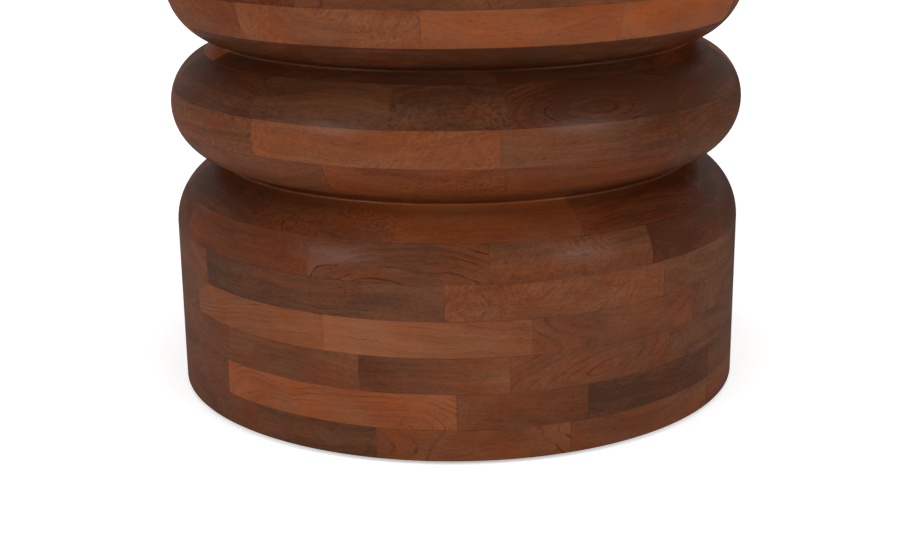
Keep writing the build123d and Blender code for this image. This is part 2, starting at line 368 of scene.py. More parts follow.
def make_wood(colours):
    """Mango wood blocks, stained and lacquered satin.

    To the eye: warm brown to orange blocks of unlike tone, soft growth bands, thin dark veins,
    short dark pores along the grain and faint curl across it, under a low even gloss.
    """
    material, tree = new_material(WOOD)
    grain, stain, figure, joint = (
        add_node(tree, "Attribute", attribute_name=name).outputs["Vector"]
        for name in ("grain", "stain", "figure", "joint")
    )
    lightness, redness, lot = add_node(tree, "SeparateXYZ", {0: stain}).outputs
    veins, curl, eye = add_node(tree, "SeparateXYZ", {0: figure}).outputs

    # Every block has its own lot, so no pattern runs on from one block into the next
    noise = {}
    for name, (along, across, detail, rough, distortion, lean) in PATTERNS.items():
        inputs = {"Vector": grain, "Angle": math.radians(lean)}
        turned = add_node(tree, "VectorRotate", inputs, rotation_type="Y_AXIS")
        inputs = {0: turned, 1: (1 / (along * MM), 1 / (across * MM), 1 / (across * MM))}
        place = add_node(tree, "VectorMath", inputs, operation="MULTIPLY")
        inputs = {"Vector": place, "W": lot, "Scale": 1.0, "Detail": detail}
        inputs.update({"Roughness": rough, "Distortion": distortion})
        noise[name] = add_node(tree, "TexNoise", inputs, noise_dimensions="4D")

    # Growth rings lie round the pith, or round the middle of an eye, bent by the tree's growth
    squeeze = add_node(tree, "CombineXYZ", {0: eye, 1: 1.0, 2: 1.0})
    offset = add_node(tree, "VectorMath", {0: grain, 1: squeeze}, operation="MULTIPLY")
    reach = add_node(tree, "VectorMath", {0: offset}, operation="LENGTH")
    bend = add_node(tree, "MapRange", {0: eye, 1: 0.0, 2: 0.25, 3: 26 * MM, 4: 4 * MM})
    for name, size in (("bend", bend), ("ripple", 3.0 * MM)):
        inputs = {0: noise[name], 1: size, 2: reach}
        reach = add_node(tree, "Math", inputs, operation="MULTIPLY_ADD")

    # Thin rings of 3.4 mm and wide ones of 11 mm shade the wood
    for name, size in (("thin rings", 3.4 * MM), ("wide rings", 11 * MM)):
        count = add_node(tree, "Math", {0: reach, 1: 1 / size, 2: lot}, operation="MULTIPLY_ADD")
        inputs = {"W": count, "Scale": 1.0, "Detail": 1.5}
        noise[name] = add_node(tree, "TexNoise", inputs, noise_dimensions="1D")

    # Some rings end in a dark vein 0.8 mm wide, 4.6 mm from the next, that comes and goes
    inputs = {0: reach, 1: 1 / (4.6 * MM), 2: lot}
    count = add_node(tree, "Math", inputs, operation="MULTIPLY_ADD")
    count = add_node(tree, "Math", {0: count, 1: 0.5}, operation="PINGPONG")
    vein = fade(
        tree,
        veins,
        (count, 0.03, 0.11, 1.0, 0.0),
        (noise["vein patches"], 0.45, 0.62, 0.14, 0.50),
        (noise["wide rings"], 0.38, 0.56, 0.2, 1.0),
    )
    inputs = {0: noise["pores"], 1: 0.62, 2: 0.72, 3: 0.0, 4: 1.0}
    pores = add_node(tree, "MapRange", inputs, interpolation_type="SMOOTHSTEP")
    pores = fade(tree, pores, (noise["pore patches"], 0.40, 0.66, 0.1, 0.65))

    # Each noise swings round 0.5, so half of all shades together is taken off first
    inputs = {0: lightness, 1: -sum(SHADES.values()) / 2}
    tone = add_node(tree, "Math", inputs, operation="ADD")
    for name, share in SHADES.items():
        inputs = {0: noise[name], 1: share, 2: tone}
        tone = add_node(tree, "Math", inputs, operation="MULTIPLY_ADD")
    # Curl leans one way here and the other way there, and shows in patches
    side = add_node(tree, "MapRange", {0: noise["pore patches"], 1: 0.46, 2: 0.54, 3: 0.0, 4: 1.0})
    waves = add_node(tree, "Mix", {0: side, 2: noise["curl"], 3: noise["counter curl"]})
    waves = add_node(tree, "MapRange", {0: waves, 1: 0.30, 2: 0.60, 3: -0.26, 4: 0.08})
    share = add_node(tree, "MapRange", {0: noise["clouds"], 1: 0.40, 2: 0.60, 3: 0.25, 4: 1.0})
    curl = add_node(tree, "Math", {0: curl, 1: share}, operation="MULTIPLY")
    tone = add_node(tree, "Math", {0: waves, 1: curl, 2: tone}, operation="MULTIPLY_ADD")
    red = add_node(tree, "MapRange", {0: noise["hue"], 1: 0.25, 2: 0.75, 3: -0.42, 4: 0.42})
    red = add_node(tree, "Math", {0: red, 1: redness}, operation="ADD")
    pairs = ((colours.dark_brown, colours.light_brown), (colours.dark_red, colours.light_red))
    brown, reddish = (
        add_node(tree, "Mix", {0: tone, 6: (*dark, 1), 7: (*light, 1)}, data_type="RGBA")
        for dark, light in pairs
    )
    colour = add_node(tree, "Mix", {0: red, 6: brown, 7: reddish}, data_type="RGBA")

    # Stain gathers in the glue lines here and there; they are drawn 0.4 mm wide so that they show
    near, above, beside = add_node(tree, "SeparateXYZ", {0: joint}).outputs
    for other in (above, beside):
        near = add_node(tree, "Math", {0: near, 1: other}, operation="MINIMUM")
    line = fade(
        tree,
        0.5,
        (near, 0.2 * MM, 0.5 * MM, 1.0, 0.0),
        (noise["vein patches"], 0.42, 0.60, 0.1, 1.0),
    )
    # A thin orange line along the bottom of each crease is a painted highlight, standing in for the
    # gleam of the crease's rounded bottom; it shows strongly on light blocks and faintly on dark
    # wood
    crease_highlight = add_node(tree, "Attribute", attribute_name="crease_highlight").outputs["Fac"]
    crease_highlight_share = add_node(tree, "MapRange", {0: lightness, 1: 0.04, 2: 0.42, 3: 0.15, 4: 1.0})
    crease_highlight = add_node(tree, "Math", {0: crease_highlight, 1: crease_highlight_share}, operation="MULTIPLY")
    pore, crease = (*colours.pore, 1), (*colours.crease, 1)
    for factor, other in ((vein, pore), (pores, pore), (line, pore), (crease_highlight, crease)):
        colour = add_node(tree, "Mix", {0: factor, 6: colour, 7: other}, data_type="RGBA")

    # The oiled wood itself is dull, and satin lacquer lies over it as a thin coat
    gloss = add_node(tree, "MapRange", {0: noise["fibres"], 1: 0.2, 2: 0.8, 3: 0.45, 4: 0.55})
    gloss = add_node(tree, "Math", {0: pores, 1: 0.12, 2: gloss}, operation="MULTIPLY_ADD")
    dips = add_node(tree, "Math", {0: noise["fibres"], 1: 0.25}, operation="MULTIPLY")
    dips = add_node(tree, "Math", {0: pores, 1: -1.0, 2: dips}, operation="MULTIPLY_ADD")
    bump = add_node(tree, "Bump", {"Height": dips, "Strength": 0.35, "Distance": 0.12 * MM})
    inputs = {"Base Color": colour, "Roughness": gloss, "IOR": 1.5, "Specular IOR Level": 0.0}
    inputs.update({"Coat Weight": 0.16, "Coat Roughness": 0.36, "Coat IOR": 1.5})
    inputs.update({"Normal": bump, "Coat Normal": bump})
    end_material(tree, inputs)
    return material


def get_wood(context):
    return bpy.data.materials.get(WOOD) or make_wood(context.scene.drum_table_colours)


def add_object(name, data):
    """An object of the scene, made from a mesh, a lamp or a camera."""
    thing = bpy.data.objects.new(name, data)
    bpy.context.scene.collection.objects.link(thing)
    return thing


class Outline:
    """The turned outline of the body: its radius and outward direction at any height."""

    def __init__(self, sizes):
        self.radius = sizes.radius
        self.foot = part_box(ring_name(1))[0].z
        self.middle = (self.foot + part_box("top_board_1")[1].z) / 2
        self.rim = sizes.rim_rounding
        self.wall_top = sizes.wall_top
        self.crease_height = self.middle - sizes.belt_height / 2
        self.crease_radius = sizes.radius - sizes.crease_depth
        rise = self.crease_height - self.wall_top
        depth = sizes.crease_depth
        self.shoulder = (depth**2 + rise**2) / (2 * depth)
        self.shoulder_centre = sizes.radius - self.shoulder
        self.nose = sizes.belt_height / 2 - sizes.belt_run_out
        self.nose_centre = sizes.radius - self.nose
        # The straight run from the crease touches the belt's nose here
        crease = Vector((self.crease_radius, self.crease_height))
        centre = Vector((self.nose_centre, self.middle))
        away = crease - centre
        turn = math.acos(self.nose / away.length)
        direction = math.atan2(away.y, away.x) + turn
        self.nose_start = direction
        touch = centre + self.nose * Vector((math.cos(direction), math.sin(direction)))
        self.run = (touch - crease).normalized()
        self.run_out = Vector((self.run.y, -self.run.x))
        self.touch = touch
        # The cutter's round tip lies against the straight run and the shoulder
        tip = sizes.crease_rounding
        start = crease + tip * self.run_out
        to_shoulder = start - Vector((self.shoulder_centre, self.wall_top))
        half = to_shoulder.dot(self.run)
        reach = (self.shoulder + tip) ** 2 - to_shoulder.length_squared
        self.tip = tip
        self.tip_centre = start + (math.sqrt(half**2 + reach) - half) * self.run
        self.crease_top = (self.tip_centre - tip * self.run_out).y
        down = self.tip_centre - Vector((self.shoulder_centre, self.wall_top))
        self.crease_foot = self.tip_centre.y - tip * down.y / down.length

    def heights(self, low, high):
        """Heights between two levels at which the outline needs a point, both ends included."""
        # The rim's round edge, the wall and the shoulder, up to the crease
        marks = [self.foot + self.rim * (1 - math.cos(math.radians(a))) for a in (22, 45, 67, 90)]
        marks += [self.wall_top * share / 12 for share in range(1, 13)]
        turns = [math.radians(3 * step) for step in range(1, 30)]
        marks += [self.wall_top + self.shoulder * math.sin(turn) for turn in turns]
        marks = [m for m in marks if m < self.crease_foot - 0.2 * MM]
        # The crease's round bottom, the straight run and the belt's nose, up to the middle
        rise = self.crease_top - self.crease_foot
        marks += [self.crease_foot + rise * step / 6 for step in range(7)]
        rise = self.touch.y - self.crease_top
        marks += [self.crease_top + rise * step / 4 for step in range(1, 5)]
        turns = [self.nose_start * (1 - step / 20) for step in range(21)]
        marks += [self.middle + self.nose * math.sin(turn) for turn in turns]
        marks += [2 * self.middle - m for m in marks]
        kept = [low]
        for mark in sorted(m for m in marks if low + FACE_GAP < m < high - FACE_GAP):
            if mark - kept[-1] > SAME_PLACE:
                kept.append(mark)
        return [*kept, high]

    def crease_highlight(self, height):
        """Share of the painted crease highlight at a height: in the lower crease, and less in the
        upper one.
        """
        mirrored = min(height, 2 * self.middle - height)
        edge = self.crease_foot + 0.4 * (self.crease_top - self.crease_foot)
        if mirrored > edge:
            return 0.0
        strength = CREASE_HIGHLIGHT_LOW if height < self.middle else CREASE_HIGHLIGHT_HIGH
        return strength * max(0.0, 1 - (edge - mirrored) / CREASE_HIGHLIGHT_REACH)

    def at(self, height):
        """Radius, and the outward direction as (outward, upward), at a height."""
        if height > self.middle:
            radius, outward, upward = self.at(2 * self.middle - height)
            return radius, outward, -upward
        if height < self.foot + self.rim:
            drop = min(self.rim, self.foot + self.rim - height)
            side = math.sqrt(max(0.0, self.rim**2 - drop**2))
            return self.radius - self.rim + side, side / self.rim, -drop / self.rim
        if height <= self.wall_top:
            return self.radius, 1.0, 0.0
        if height <= self.crease_foot:
            rise = height - self.wall_top
            side = math.sqrt(self.shoulder**2 - rise**2)
            return self.shoulder_centre + side, side / self.shoulder, rise / self.shoulder
        if height < self.crease_top:
            rise = height - self.tip_centre.y
            side = math.sqrt(max(0.0, self.tip**2 - rise**2))
            return self.tip_centre.x - side, side / self.tip, -rise / self.tip
        if height < self.touch.y:
            share = (height - self.touch.y) / self.run.y
            return self.touch.x + share * self.run.x, self.run_out.x, self.run_out.y
        rise = height - self.middle
        side = math.sqrt(self.nose**2 - rise**2)
        return self.nose_centre + side, side / self.nose, rise / self.nose


class Log:
    """Where a block was sawn from its log: the pith's place and direction give its grain."""

    def __init__(self, middle, along, stain, figure, lot, eye=None):
        chance = random.Random(lot)
        outward = Vector((along.y, -along.x, 0.0))
        *self.figure, slope = FIGURES[figure]
        self.stain = STAINS[stain]
        self.lot = chance.uniform(0.0, LOTS)
        lean = chance.uniform(-GRAIN_LEAN, GRAIN_LEAN)
        rise = chance.uniform(-GRAIN_LEAN, GRAIN_LEAN) + slope
        self.along = (along + lean * outward + rise * Vector((0, 0, 1))).normalized()
        self.up = (Vector((0, 0, 1)) - self.along.z * self.along).normalized()
        self.out = self.along.cross(self.up)
        reach = chance.uniform(*PITH_REACH) * MM
        turn = chance.uniform(0.0, 2 * math.pi)
        heart = middle + reach * (math.cos(turn) * self.out + math.sin(turn) * self.up)
        self.pith = eye or heart

    def grain(self, point):
        """The point along the pith and across from it."""
        offset = Vector(point) - self.pith
        return offset.dot(self.along), offset.dot(self.out), offset.dot(self.up)


class Stock:
    """Wood gathered block by block into one mesh, with each block's grain on its points."""

    def __init__(self):
        self.points, self.faces, self.grain, self.stain, self.figure = [], [], [], [], []
        self.joint, self.crease_highlight = [], []

    def add(self, points, faces, log, joint, crease_highlight=None, lighter=None):
        first = len(self.points)
        self.points.extend(points)
        self.faces.extend([first + corner for corner in face] for face in faces)
        self.grain.extend(log.grain(point) for point in points)
        lightness, redness = log.stain
        for more in lighter or [0.0] * len(points):
            self.stain.append((lightness + more, redness, log.lot))
        self.figure.extend([tuple(log.figure)] * len(points))
        self.joint.extend(joint)
        self.crease_highlight.extend(crease_highlight or [0.0] * len(points))

    def piece(self, name, material, normal_at):
        """The piece as an object; faces of the turned surface take the outline's normals."""
        mesh = bpy.data.meshes.new(name)
        mesh.from_pydata(self.points, [], self.faces)
        for label in ("grain", "stain", "figure", "joint"):
            layer = mesh.attributes.new(label, "FLOAT_VECTOR", "POINT")
            values = [number for vector in getattr(self, label) for number in vector]
            layer.data.foreach_set("vector", values)
        # Share of the painted crease highlight, for each point
        layer = mesh.attributes.new("crease_highlight", "FLOAT", "POINT")
        layer.data.foreach_set("value", self.crease_highlight)
        mesh.polygons.foreach_set("use_smooth", [True] * len(mesh.polygons))
        turned = [normal_at(point) for point in self.points]
        normals = []
        for face in mesh.polygons:
            flat = face.normal.copy()
            corners = [turned[corner] for corner in face.vertices]
            is_turned = all(c is not None and c.dot(flat) > TURNED_COSINE for c in corners)
            normals.extend(corners if is_turned else [flat] * len(corners))
        mesh.normals_split_custom_set(normals)
        mesh.materials.append(material)
        return add_object(name, mesh)


def sweep(section, start, end, step):
    """A block: a section of (radius, height) points swept round the axis between two angles."""
    count = max(2, math.ceil((end - start) / step))
    points = []
    for index in range(count + 1):
        turn = start + (end - start) * index / count
        points += [(r * math.cos(turn), r * math.sin(turn), z) for r, z in section]
    size = len(section)
    faces = [list(range(size)), [count * size + i for i in reversed(range(size))]]
    for index in range(count):
        low, high = index * size, (index + 1) * size
        for i in range(size):
            j = (i + 1) % size
            faces.append([low + i, high + i, high + j, low + j])
    return points, faces


def spin(shape, section, sides, x=0.0, y=0.0):
    """Spin a section of (radius, height) points round an upright axis; returns its rounds."""
    turns = [2 * math.pi * i / sides for i in range(sides)]
    rounds = []
    for radius, height in section:
        if radius == 0.0:
            rounds.append([shape.verts.new((x, y, height))] * sides)
            continue
        places = [(x + radius * math.cos(t), y + radius * math.sin(t), height) for t in turns]
        rounds.append([shape.verts.new(place) for place in places])
    for lower, upper in zip(rounds, rounds[1:]):
        for i in range(sides):
            j = (i + 1) % sides
            corners = [lower[i], lower[j], upper[j], upper[i]]
            shape.faces.new(list(dict.fromkeys(corners)))
    return rounds


def turn_tool(x, y, steps):
    """A stepped round cutter standing at a place; steps are (radius, height) from below."""
    tool = bmesh.new()
    spin(tool, [(0.0, steps[0][1]), *steps, (0.0, steps[-1][1])], CUTTER_SIDES, x, y)
    mesh = bpy.data.meshes.new("cutter")
    tool.to_mesh(mesh)
    tool.free()
    return mesh


def cut(points, faces, tools):
    """The block's points and faces after the cutters have been through it."""
    mesh = bpy.data.meshes.new("blank")
    mesh.from_pydata(points, [], faces)
    blank = add_object("blank", mesh)
    cutters = [add_object("cutter", tool) for tool in tools]
    for cutter in cutters:
        modifier = blank.modifiers.new("cut", "BOOLEAN")
        modifier.operation = "DIFFERENCE"
        modifier.solver = "EXACT"
        modifier.object = cutter
    worked = blank.evaluated_get(bpy.context.evaluated_depsgraph_get()).to_mesh()
    points = [tuple(v.co) for v in worked.vertices]
    faces = [list(face.vertices) for face in worked.polygons]
    for spare in [blank, *cutters]:
        bpy.data.objects.remove(spare)
    bpy.data.meshes.remove(mesh)
    return points, faces


def look(stain, figure="plain", drift=0.0):
    """Stain, figure and drift of a block; most blocks are plain and keep one tone."""
    return stain, figure, drift


def look_by_lot(chance):
    return look(chance.choice(BACK_STAINS), chance.choice(BACK_FIGURES))


def block_ends(number):
    """Start and end, in degrees from the front, and look of each block of a ring."""
    chance = random.Random(ROW_LOT * number)
    if number in FRONT_BLOCKS:
        entry, *seen = FRONT_BLOCKS[number]
        hidden = seen[0][0] + 360 - seen[-1][0]
        count = round(hidden / HIDDEN_BLOCK)
        starts = [start for start, *_ in seen]
        last = starts.pop()
        starts += [last + index * hidden / count for index in range(count)]
        looks = [look(*rest) for _, *rest in seen]
        while len(looks) < len(starts) - 1:
            looks.append(look_by_lot(chance))
        looks.append(look(*entry[1:]))
    else:
        first = -HIDDEN_BLOCK / 2 + (number * RING_SHIFT) % HIDDEN_BLOCK
        starts = [first + HIDDEN_BLOCK * index for index in range(360 // HIDDEN_BLOCK)]
        looks = [look_by_lot(chance) for _ in starts]
    ends = [*starts[1:], starts[0] + 360]
    return zip(starts, ends, looks)


def foot_places():
    """Middle of each foot, seen from above."""
    for number in range(1, FOOT_COUNT + 1):
        low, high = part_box(f"foot_pad_{number}")
        yield (low.x + high.x) / 2, (low.y + high.y) / 2


def screw_places(circle):
    for index in range(SCREW_COUNT):
        turn = math.radians((index + 0.5) * 360 / SCREW_COUNT)
        yield circle * math.cos(turn), circle * math.sin(turn)


def cutters_for(number, sizes):
    """Cutters for the foot pockets and screw holes of the two lowest rings, with their places."""
    low, high = ring_levels(number)
    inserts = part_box("foot_inserts")
    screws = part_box("bottom_panel_screws")
    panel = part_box("bottom_panel")
    circle = sizes.bore_radius + SCREW_INSET
    if number == 1:
        steps = (
            (sizes.pocket_radius, low - 2 * MM),
            (sizes.pocket_radius, inserts[0].z),
            (INSERT_HOLE, inserts[0].z),
            (INSERT_HOLE, inserts[1].z),
            (TIP_HOLE, inserts[1].z),
            (TIP_HOLE, inserts[1].z + TIP_ROOM),
        )
        yield from ((x, y, steps) for x, y in foot_places())
        steps = ((SCREW_HOLE, panel[1].z - 1 * MM), (SCREW_HOLE, high + 1 * MM))
        yield from ((x, y, steps) for x, y in screw_places(circle))
    elif number == 2:
        steps = ((SCREW_HOLE, low - 1 * MM), (SCREW_HOLE, screws[1].z + 0.1 * MM))
        yield from ((x, y, steps) for x, y in screw_places(circle))


def angle_from(middle, x, y):
    """Angle from one direction round to a place, between minus and plus half a turn."""
    return (math.atan2(y, x) - middle + math.pi) % (2 * math.pi) - math.pi


def make_ring(number, sizes, outline, material):
    """One glued ring, block by block, replacing its CAD node."""
    low, high = ring_levels(number)
    outer = [(outline.at(height)[0], height) for height in outline.heights(low, high)]
    inner = [(sizes.bore_radius, high), (sizes.bore_radius, low)]
    if number == 1:
        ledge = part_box("bottom_panel")[1].z
        rebate = [(sizes.bore_radius, ledge), (sizes.rebate_radius, ledge)]
        inner = [(sizes.bore_radius, high), *rebate, (sizes.rebate_radius, low)]
    section = outer + inner
    cutters = list(cutters_for(number, sizes))
    stock = Stock()
    for index, (start, end, (stain, figure, drift)) in enumerate(block_ends(number)):
        start, end = math.radians(start + FRONT), math.radians(end + FRONT)
        middle = (start + end) / 2
        half = (end - start) / 2
        points, faces = sweep(section, start, end, sizes.smoothness)
        tools = [
            turn_tool(x, y, steps)
            for x, y, steps in cutters
            if abs(angle_from(middle, x, y)) < half + CUTTER_ROOM
        ]
        if tools:
            points, faces = cut(points, faces, tools)
        outward = Vector((math.cos(middle), math.sin(middle), 0.0))
        along = Vector((-outward.y, outward.x, 0.0))
        core = outward * (sizes.radius - CORE_DEPTH)
        core.z = (low + high) / 2
        eye = None
        if number in EYES and FIGURES[figure][2] > 0:
            turn, height = math.radians(EYES[number][0] + FRONT), EYES[number][1]
            radius = outline.at(height)[0]
            eye = Vector((radius * math.cos(turn), radius * math.sin(turn), height))
        log = Log(core, along, stain, figure, BLOCK_LOT * number + index, eye)
        # The painted highlight along the bottom of the creases, for each point
        crease_highlight = [outline.crease_highlight(point[2]) for point in points]
        # How far each point lies from the glue lines below, above and at the nearer end
        joint, lighter = [], []
        for x, y, z in points:
            away = angle_from(middle, x, y)
            joint.append((z - low, high - z, (half - abs(away)) * sizes.radius))
            lighter.append(drift * away / (end - start))
        stock.add(points, faces, log, joint, crease_highlight, lighter)

    def normal_at(point):
        around = math.hypot(point[0], point[1])
        radius, outward, upward = outline.at(point[2])
        if abs(radius - around) > SAME_PLACE:
            return None
        return Vector((point[0] / around * outward, point[1] / around * outward, upward))

    piece = stock.piece(f"wood_ring_{number:02d}", material, normal_at)
    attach(piece, "table")
    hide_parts(ring_name(number))


class DRUM_TABLE_OT_turn_rings(bpy.types.Operator):
    """Turn the stack of block rings"""

    bl_idname = "drum_table.turn_rings"
    bl_label = "Turn Rings"

    def execute(self, context):
        sizes = context.scene.drum_table_sizes
        outline = Outline(sizes)
        material = get_wood(context)
        for number in range(1, RING_COUNT + 1):
            make_ring(number, sizes, outline, material)
        return {"FINISHED"}


# Stains and figures of the top boards, from the front edge to the back
TOP_BOARDS = (
    ("chestnut", "plain"),
    ("amber", "veined"),
    ("russet", "plain"),
    ("copper", "veined"),
    ("walnut", "plain"),
    ("chestnut", "curly"),
    ("russet", "veined"),
)


def saw_board(section, sides, front, back, radius):
    """Points and faces of the strip of a turned disc between two upright planes."""
    disc = bmesh.new()
    rounds = spin(disc, section, sides)
    disc.faces.new(rounds[-1])
    disc.faces.new(list(reversed(rounds[0])))
    for place, direction in ((front, -1), (back, 1)):
        if abs(place) > radius - 1 * MM:
            continue
        geometry = disc.verts[:] + disc.edges[:] + disc.faces[:]
        sawn = bmesh.ops.bisect_plane(
            disc, geom=geometry, plane_co=(0, place, 0), plane_no=(0, direction, 0),
            clear_outer=True,
        )
        edges = [e for e in sawn["geom_cut"] if isinstance(e, bmesh.types.BMEdge)]
        bmesh.ops.edgenet_fill(disc, edges=edges)
    bmesh.ops.recalc_face_normals(disc, faces=disc.faces[:])
    disc.verts.index_update()
    points = [tuple(v.co) for v in disc.verts]
    faces = [[v.index for v in face.verts] for face in disc.faces]
    disc.free()
    return points, faces


class DRUM_TABLE_OT_lay_top(bpy.types.Operator):
    """Lay the edge-glued board top and round its edge"""

    bl_idname = "drum_table.lay_top"
    bl_label = "Lay Top"

    def execute(self, context):
        sizes = context.scene.drum_table_sizes
        material = get_wood(context)
        low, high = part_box("top_board_1")[0].z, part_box("top_board_1")[1].z
        radius, edge = sizes.radius, sizes.top_rounding
        section = [(radius, low), (radius, high - edge)]
        for step in range(1, 9):
            turn = math.radians(90 * step / 8)
            place = (radius - edge + edge * math.cos(turn), high - edge + edge * math.sin(turn))
            section.append(place)
        sides = math.ceil(2 * math.pi / sizes.smoothness)

        def normal_at(point):
            around = math.hypot(point[0], point[1])
            side, rise = around - (radius - edge), max(0.0, point[2] - (high - edge))
            if point[2] < low + 0.01 * MM and around < radius - SAME_PLACE or side < -0.01 * MM:
                return None
            away = Vector((point[0] / around * side, point[1] / around * side, rise))
            return away.normalized() if away.length > 0 else None

        for number, (stain, figure) in enumerate(TOP_BOARDS, 1):
            front = -radius + (number - 1) * 2 * radius / BOARD_COUNT
            back = front + 2 * radius / BOARD_COUNT
            points, faces = saw_board(section, sides, front, back, radius)
            middle = Vector((0.0, (front + back) / 2, (low + high) / 2))
            log = Log(middle, Vector((1.0, 0.0, 0.0)), stain, figure, BOARD_LOT + number)
            stock = Stock()
            joint = [(point[1] - front, back - point[1], 1.0) for point in points]
            stock.add(points, faces, log, joint)
            name = f"top_board_{number}"
            piece = stock.piece(f"wood_{name}", material, normal_at)
            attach(piece, "table")
            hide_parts(name)
        return {"FINISHED"}


def make_plywood():
    """Birch plywood, sanded.

    To the eye: pale straight-grained face veneer, and thin light and dark plies at the edge.
    """
    material, tree = new_material(PLYWOOD)
    place = add_node(tree, "TexCoord").outputs["Object"]
    # Face veneer: fibres about 40 mm long and 1.2 mm wide, so that they show, and growth bands of
    # 160 by 22 mm
    noise = []
    for along, across, detail in ((40, 1.2, 3.0), (160, 22, 2.0)):
        inputs = {0: place, 1: (1 / (along * MM), 1 / (across * MM), 1 / (along * MM))}
        inputs = {"Vector": add_node(tree, "VectorMath", inputs, operation="MULTIPLY")}
        inputs.update({"Scale": 1.0, "Detail": detail})
        noise.append(add_node(tree, "TexNoise", inputs))
    fibres, growth = noise
    mixed = add_node(tree, "Math", {0: fibres, 1: growth}, operation="MULTIPLY")
    veneer = add_node(tree, "MapRange", {0: mixed, 1: 0.12, 2: 0.38, 3: 0.0, 4: 1.0})
    inputs = {0: veneer, 6: (*linear("#B8925F"), 1), 7: (*linear("#D3B383"), 1)}
    face = add_node(tree, "Mix", inputs, data_type="RGBA")
    # Plies of 1.33 mm, every other one with its end grain showing darker
    ply = add_node(tree, "SeparateXYZ", {0: place}).outputs[2]
    steps = (("MULTIPLY", 1 / (2.66 * MM)), ("PINGPONG", 1.0), ("GREATER_THAN", 0.5))
    for operation, value in steps:
        ply = add_node(tree, "Math", {0: ply, 1: value}, operation=operation)
    normal = add_node(tree, "NewGeometry").outputs["True Normal"]
    side = add_node(tree, "SeparateXYZ", {0: normal}).outputs[2]
    for operation, value in (("ABSOLUTE", 0.0), ("LESS_THAN", 0.5)):
        side = add_node(tree, "Math", {0: side, 1: value}, operation=operation)
    shade = add_node(tree, "Math", {0: ply, 1: side}, operation="MULTIPLY")
    inputs = {0: shade, 6: face, 7: (*linear("#8F6B40"), 1)}
    colour = add_node(tree, "Mix", inputs, data_type="RGBA")
    rough = add_node(tree, "MapRange", {0: fibres, 1: 0.2, 2: 0.8, 3: 0.62, 4: 0.74})
    bump = add_node(tree, "Bump", {"Height": fibres, "Strength": 0.3, "Distance": 0.08 * MM})
    end_material(tree, {"Base Color": colour, "Roughness": rough, "Normal": bump, "IOR": 1.5})
    return material


def make_patchy(name, patches, marks, colours, gloss, bump, own):
    """A hard even finish with soft patches of tone and gloss, and fine marks in its surface.

    Patches and marks are (size in mm, detail), and the bump is (strength, depth in mm).
    """
    material, tree = new_material(name)
    place = add_node(tree, "TexCoord").outputs["Object"]
    patches, marks = (
        add_node(tree, "TexNoise", {"Vector": place, "Scale": 1 / (size * MM), "Detail": detail})
        for size, detail in (patches, marks)
    )
    dark, light = colours
    inputs = {0: patches, 6: (*linear(dark), 1), 7: (*linear(light), 1)}
    colour = add_node(tree, "Mix", inputs, data_type="RGBA")
    rough = add_node(tree, "MapRange", {0: patches, 1: 0.2, 2: 0.8, 3: gloss[0], 4: gloss[1]})
    bump = add_node(
        tree, "Bump", {"Height": marks, "Strength": bump[0], "Distance": bump[1] * MM}
    )
    end_material(tree, {"Base Color": colour, "Roughness": rough, "Normal": bump, **own})
    return material


def make_zinc():
    """Steel, bright zinc plated.

    To the eye: light bluish grey metal with cloudy plating and fine forming marks.
    """
    # Plating clouds of about 3 mm, forming marks of about 0.4 mm
    clouds, marks = (3, 2.0), (0.4, 1.0)
    colours, gloss, bump = ("#A4A8AD", "#C9CCD0"), (0.28, 0.42), (0.2, 0.03)
    return make_patchy(ZINC, clouds, marks, colours, gloss, bump, {"Metallic": 1.0})


def make_nylon():
    """Nylon, moulded black.

    To the eye: dull black plastic with the fine spark-eroded texture of its mould.
    """
    # Scuffs of about 4 mm and mould texture of about 0.25 mm
    scuffs, grit = (4, 3.0), (0.25, 2.0)
    colours, gloss, bump = ("#161617", "#2A2A2B"), (0.48, 0.62), (0.3, 0.05)
    return make_patchy(NYLON, scuffs, grit, colours, gloss, bump, {"IOR": 1.53})


def get_zinc():
    return bpy.data.materials.get(ZINC) or make_zinc()


def dress(node, material):
    """Give a carried-over CAD part its finish."""
    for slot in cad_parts[node].material_slots:
        slot.link = "OBJECT"
        slot.material = material


class DRUM_TABLE_OT_finish_underside(bpy.types.Operator):
    """Finish the bottom panel and its screws"""

    bl_idname = "drum_table.finish_underside"
    bl_label = "Finish Underside"

    def execute(self, context):
        dress("bottom_panel", make_plywood())
        dress("bottom_panel_screws", get_zinc())
        return {"FINISHED"}


class DRUM_TABLE_OT_finish_feet(bpy.types.Operator):
    """Finish the inserts, studs and pads of the levelling feet"""

    bl_idname = "drum_table.finish_feet"
    bl_label = "Finish Feet"

    def execute(self, context):
        zinc = get_zinc()
        nylon = make_nylon()
        dress("foot_inserts", zinc)
        for number in range(1, FOOT_COUNT + 1):
            dress(f"foot_stud_{number}", zinc)
            dress(f"foot_pad_{number}", nylon)
        return {"FINISHED"}


